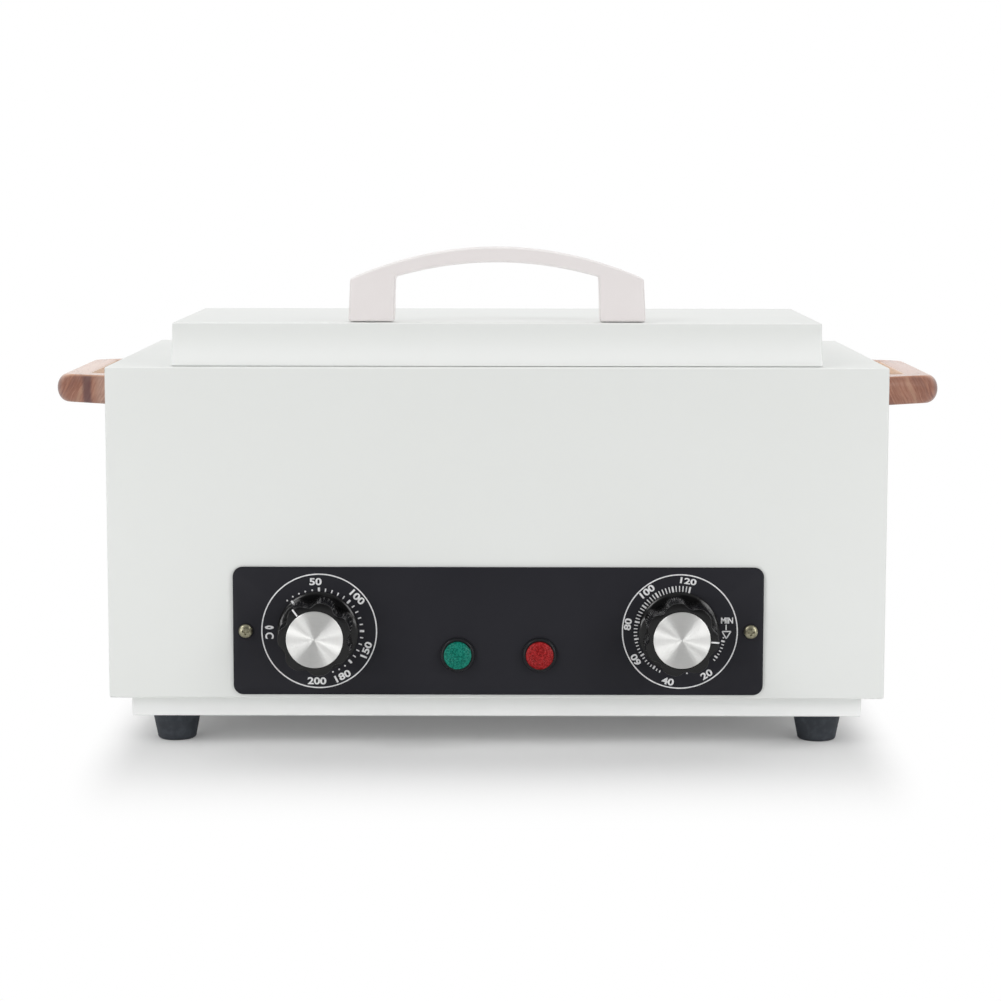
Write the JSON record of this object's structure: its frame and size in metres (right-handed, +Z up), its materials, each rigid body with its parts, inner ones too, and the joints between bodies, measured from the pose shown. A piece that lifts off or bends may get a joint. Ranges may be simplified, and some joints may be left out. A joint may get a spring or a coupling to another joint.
{
  "type": "dry heat sterilizer",
  "caption": "Benchtop dry heat sterilizer: white steel box on rubber feet, hinged lid with arched handle over a steel tank, wooden side handles, dials and pilot lamps.",
  "frame": {"origin": "on the floor under the middle of the whole object, midway from the knob faces to the mains inlet", "axes": "+Z up, +X to the right as seen from the front, +Y from the front to the back"},
  "size_m": [0.3872, 0.217, 0.214],
  "materials": {
    "powder_coat": "fine satin powder coat, near white",
    "panel_black": "satin black with white screen print",
    "knob_black": "glossy moulded phenolic, white filled pointer line",
    "spun_aluminium": "spun face with fine concentric turning lines",
    "foot_rubber": "matt moulded rubber",
    "walnut": "satin oiled walnut",
    "handle_white": "satin moulded plastic, warm white",
    "lens_green": "translucent moulded lens with a fine diamond pattern",
    "lens_red": "translucent moulded lens with a fine diamond pattern",
    "screw_nickel": "nickel plated",
    "stainless": "brushed",
    "heater_sheath": "heat darkened",
    "copper": "drawn copper",
    "brass": "plain",
    "zinc_steel": "zinc plated",
    "fibre_wool": "ceramic fibre felt",
    "ceramic_white": "unglazed",
    "plastic_black": "moulded",
    "wire_sleeve": "woven glass sleeve",
    "dial_print": "white screen print"
  },
  "bodies": {
    "housing": {"body_shell": "powder_coat", "base_plate": "powder_coat", "control_panel": "panel_black", "foot_front_left": "foot_rubber", "foot_front_right": "foot_rubber", "foot_back_left": "foot_rubber", "foot_back_right": "foot_rubber", "side_handle_left": "walnut", "side_handle_right": "walnut", "green_lamp_lens": "lens_green", "red_lamp_lens": "lens_red", "panel_screw_left": "screw_nickel", "panel_screw_right": "screw_nickel", "tank": "stainless", "heater_clamp": "stainless", "heater_element": "heater_sheath", "capillary_sensor": "copper", "inlet_pin_live": "brass", "inlet_pin_neutral": "brass", "inlet_pin_earth": "brass", "thermostat_body": "zinc_steel", "timer_body": "zinc_steel", "heat_shield": "zinc_steel", "foot_screw_front_left": "zinc_steel", "foot_screw_front_right": "zinc_steel", "foot_screw_back_left": "zinc_steel", "foot_screw_back_right": "zinc_steel", "base_screw_front_left": "zinc_steel", "base_screw_front_right": "zinc_steel", "base_screw_back_left": "zinc_steel", "base_screw_back_right": "zinc_steel", "side_handle_screw_front_left": "zinc_steel", "side_handle_screw_front_right": "zinc_steel", "side_handle_screw_back_left": "zinc_steel", "side_handle_screw_back_right": "zinc_steel", "hinge_body_leaf_left": "zinc_steel", "hinge_body_leaf_right": "zinc_steel", "hinge_pin_left": "zinc_steel", "hinge_pin_right": "zinc_steel", "insulation_jacket": "fibre_wool", "thermal_cutout": "ceramic_white", "terminal_block": "ceramic_white", "green_lamp_holder": "plastic_black", "red_lamp_holder": "plastic_black", "power_inlet": "plastic_black", "wiring_loom": "wire_sleeve"},
    "lid": {"lid_shell": "powder_coat", "lid_liner": "stainless", "lid_insulation": "fibre_wool", "lid_handle": "handle_white", "lid_handle_screw_left": "zinc_steel", "lid_handle_screw_right": "zinc_steel", "hinge_lid_leaf_left": "zinc_steel", "hinge_lid_leaf_right": "zinc_steel"},
    "thermostat_dial": {"thermostat_knob": "knob_black", "thermostat_knob_cap": "spun_aluminium", "thermostat_shaft": "zinc_steel"},
    "timer_dial": {"timer_knob": "knob_black", "timer_knob_cap": "spun_aluminium", "timer_shaft": "zinc_steel"}
  },
  "joints": [
    {"name": "lid_hinge", "type": "hinge", "parent": "housing", "child": "lid", "pos_m": [0, 0.05, 0.1666], "axis": [-1, 0, 0], "range_deg": [0, 100]},
    {"name": "thermostat_turn", "type": "hinge", "parent": "housing", "child": "thermostat_dial", "pos_m": [-0.0757, -0.086, 0.0519], "axis": [0, 1, 0], "range_deg": [-9, 218]},
    {"name": "timer_turn", "type": "hinge", "parent": "housing", "child": "timer_dial", "pos_m": [0.0773, -0.086, 0.0519], "axis": [0, 1, 0], "range_deg": [0, 278]}
  ]
}
